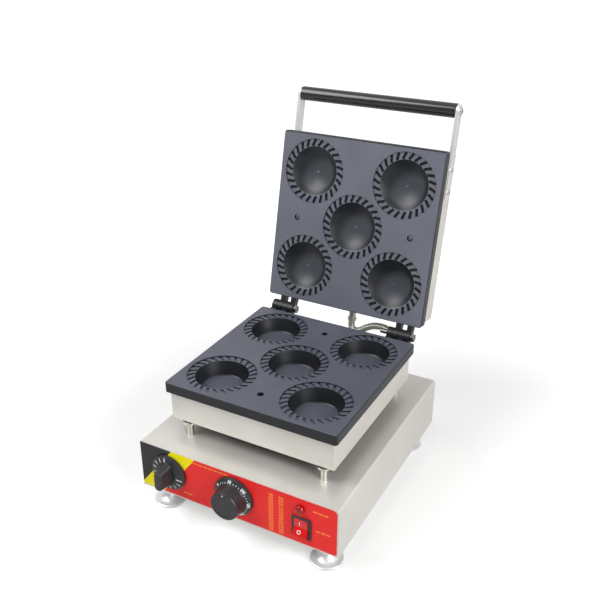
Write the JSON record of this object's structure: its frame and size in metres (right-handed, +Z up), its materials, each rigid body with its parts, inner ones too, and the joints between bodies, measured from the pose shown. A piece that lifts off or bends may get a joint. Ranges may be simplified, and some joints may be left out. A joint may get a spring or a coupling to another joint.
{
  "type": "electric pie maker",
  "caption": "Tabletop electric pie maker: steel base box with dials, fluted round cups in a cast plate and a hinged matching lid with a bar handle.",
  "frame": {"origin": "on the floor under the feet, below the centre of the base box", "axes": "+X to the object's right seen from its controls, +Y to the back, +Z up"},
  "size_m": [0.342, 0.519, 0.5773],
  "materials": {
    "steel_sheet": "fine satin stainless sheet",
    "panel_film": "printed film, red, yellow and black",
    "screw_steel": "bright steel",
    "foot_chrome": "polished chrome",
    "pad_rubber": "grey moulded pad",
    "control_case": "moulded case",
    "knob_black": "semi-gloss moulded black",
    "copper": "drawn copper",
    "lead_sleeve": "glass-fibre sleeve",
    "lamp_red": "clear red lens",
    "rocker_red": "clear red rocker",
    "terminal_white": "moulded block",
    "gland_black": "moulded nylon",
    "leg_steel": "turned steel",
    "mineral_wool": "pressed mineral wool",
    "plate_coating": "cast, with a dark non-stick coating",
    "screw_dark": "blackened steel",
    "heater_steel": "heat-coloured steel",
    "bolt_zinc": "bright zinc",
    "hose_steel": "close-wound stainless hose",
    "arm_steel": "polished flat bar",
    "grip_black": "gloss black tube"
  },
  "bodies": {
    "base": {"base_cover": "steel_sheet", "base_tray": "steel_sheet", "cord_gland": "gland_black", "cord_gland_nut": "gland_black", "cover_screws": "screw_steel", "foot_bolts": "screw_steel", "foot_front_left": "foot_chrome", "foot_front_right": "foot_chrome", "foot_pads": "pad_rubber", "foot_rear_left": "foot_chrome", "foot_rear_right": "foot_chrome", "heater_leads": "lead_sleeve", "hinge_bolts": "bolt_zinc", "hose_gland_base": "hose_steel", "lead_conduit": "leg_steel", "lid_hose": "hose_steel", "lower_heater": "heater_steel", "lower_heater_clamps": "heater_steel", "lower_housing": "steel_sheet", "lower_insulation": "mineral_wool", "lower_plate": "plate_coating", "lower_plate_screws": "screw_dark", "panel_overlay": "panel_film", "pilot_lamp_body": "control_case", "pilot_lamp_lens": "lamp_red", "support_bolts": "screw_steel", "support_legs": "leg_steel", "switch_housing": "knob_black", "terminal_block": "terminal_white", "thermostat_body": "control_case", "thermostat_bulb": "copper", "thermostat_capillary": "copper", "thermostat_nut": "screw_steel", "timer_body": "control_case", "timer_nut": "screw_steel"},
    "lid": {"upper_plate": "plate_coating", "upper_cover": "steel_sheet", "upper_insulation": "mineral_wool", "upper_heater": "heater_steel", "upper_heater_clamps": "heater_steel", "upper_plate_screws": "screw_dark", "handle_arm_left": "arm_steel", "handle_arm_right": "arm_steel", "arm_screws": "bolt_zinc", "handle_grip": "grip_black", "handle_rod": "leg_steel", "handle_end_screws": "bolt_zinc", "hose_gland_lid": "hose_steel"},
    "timer_dial": {"timer_knob": "knob_black", "timer_shaft": "screw_steel"},
    "thermostat_dial": {"thermostat_knob": "knob_black", "thermostat_shaft": "screw_steel"},
    "rocker": {"switch_rocker": "rocker_red"}
  },
  "joints": [
    {"name": "lid_hinge", "type": "hinge", "parent": "base", "child": "lid", "pos_m": [0, 0.1594, 0.2104], "axis": [1, 0, 0], "range_deg": [0, 102.5], "deforming": ["lid_hose"]},
    {"name": "timer_turn", "type": "hinge", "parent": "base", "child": "timer_dial", "pos_m": [-0.1175, -0.1904, 0.0808], "axis": [0, 1, 0], "range_deg": [0, 300]},
    {"name": "thermostat_turn", "type": "hinge", "parent": "base", "child": "thermostat_dial", "pos_m": [-0.0002, -0.1904, 0.081], "axis": [0, 1, 0], "range_deg": [0, 280]},
    {"name": "switch_rock", "type": "hinge", "parent": "base", "child": "rocker", "pos_m": [0.1126, -0.1882, 0.0688], "axis": [1, 0, 0], "range_deg": [0, 22]}
  ]
}
